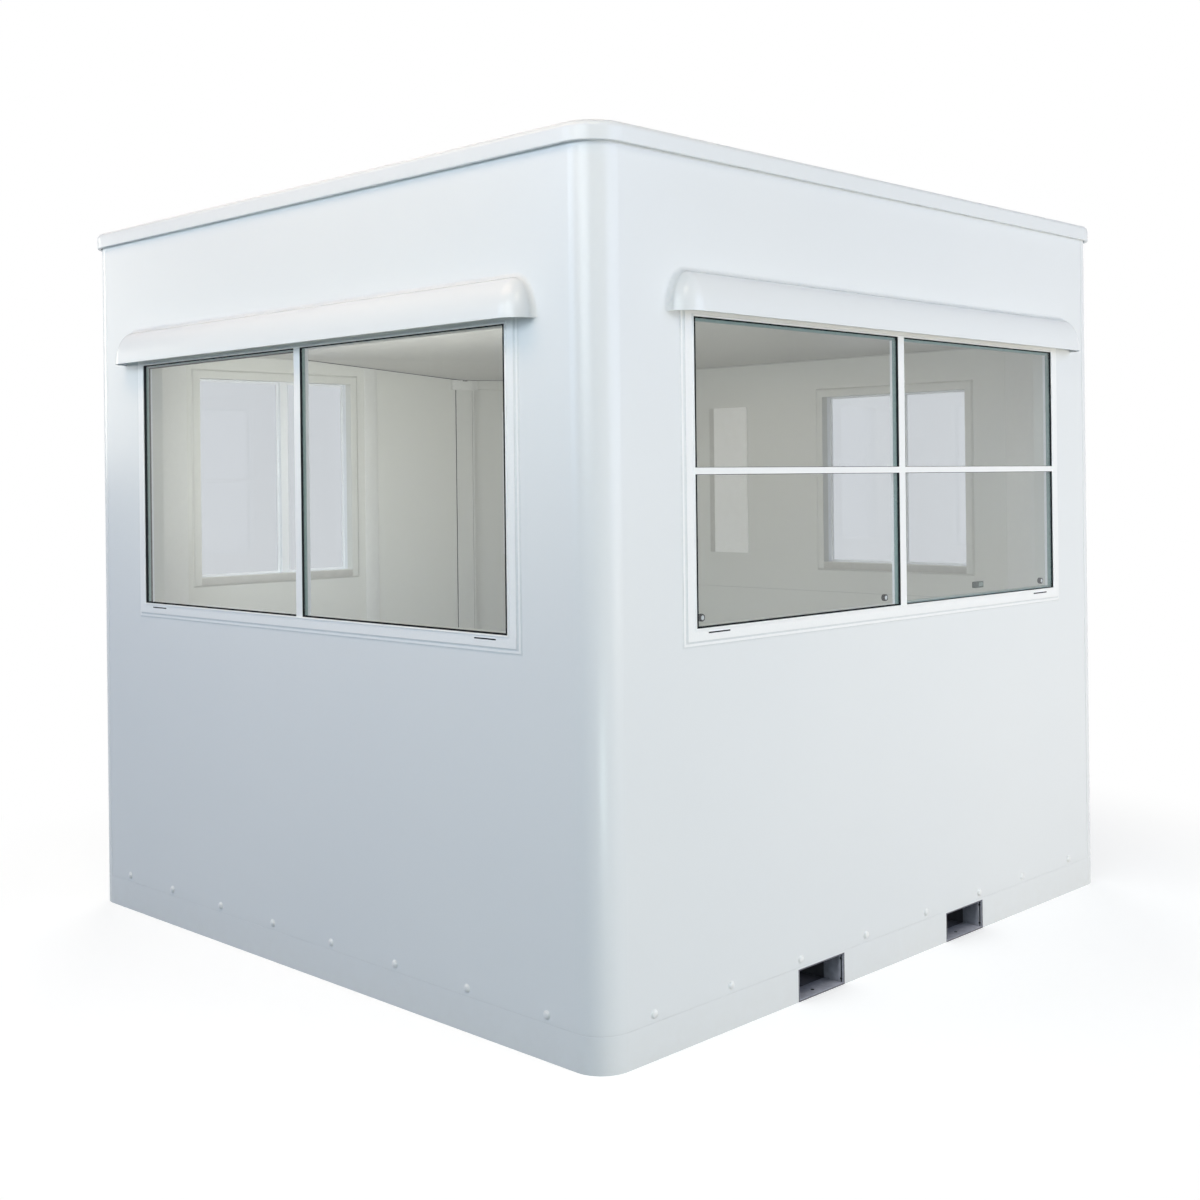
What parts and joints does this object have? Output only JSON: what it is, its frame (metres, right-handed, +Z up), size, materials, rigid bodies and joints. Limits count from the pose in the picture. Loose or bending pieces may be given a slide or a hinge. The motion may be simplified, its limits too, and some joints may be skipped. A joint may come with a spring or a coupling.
{
  "type": "security guard booth",
  "caption": "Square modular guard booth with rounded corners, wide windows under curved drip canopies, an overhanging roof cap and fork pockets in its base.",
  "frame": {"origin": "centre of the underside, on the ground", "axes": "+Z up, front wall with the two-pane window faces -Y, right wall with the fork pockets faces +X"},
  "size_m": [2.84, 2.84, 2.51],
  "materials": {
    "white_grp": "glossy moulded white",
    "white_powder_coat": "white powder coat",
    "clear_glass": "clear float glass, slightly green at the edge",
    "galvanised_steel": "hot-dip galvanised",
    "vinyl_floor": "sheet vinyl",
    "interior_lining": "off-white lining",
    "threshold_aluminium": "mill finish, ribbed",
    "satin_steel": "satin"
  },
  "bodies": {
    "root": {"front_wall": "white_grp", "right_wall": "white_grp", "back_wall": "white_grp", "left_wall": "white_grp", "front_right_corner": "white_grp", "back_right_corner": "white_grp", "back_left_corner": "white_grp", "front_left_corner": "white_grp", "base_rail_front": "white_grp", "base_rail_right": "white_grp", "base_rail_back": "white_grp", "base_rail_left": "white_grp", "base_corners": "white_grp", "fork_pocket_front": "galvanised_steel", "fork_pocket_rear": "galvanised_steel", "floor_joists": "galvanised_steel", "floor_deck": "vinyl_floor", "ceiling_panel": "interior_lining", "roof_cap": "white_grp", "front_window_frame": "white_powder_coat", "front_window_glass": "clear_glass", "right_window_frame": "white_powder_coat", "right_window_glass": "clear_glass", "left_window_frame": "white_powder_coat", "left_window_glass": "clear_glass", "back_window_frame": "white_powder_coat", "back_window_glass": "clear_glass", "front_canopy": "white_grp", "right_canopy": "white_grp", "left_canopy": "white_grp", "back_canopy": "white_grp", "door_frame": "white_powder_coat", "door_threshold": "threshold_aluminium", "door_leaf": "white_powder_coat", "door_glass": "clear_glass", "door_hinges": "satin_steel", "door_lever_outside": "satin_steel", "door_lever_inside": "satin_steel", "wall_cover_plate": "interior_lining"}
  },
  "joints": []
}
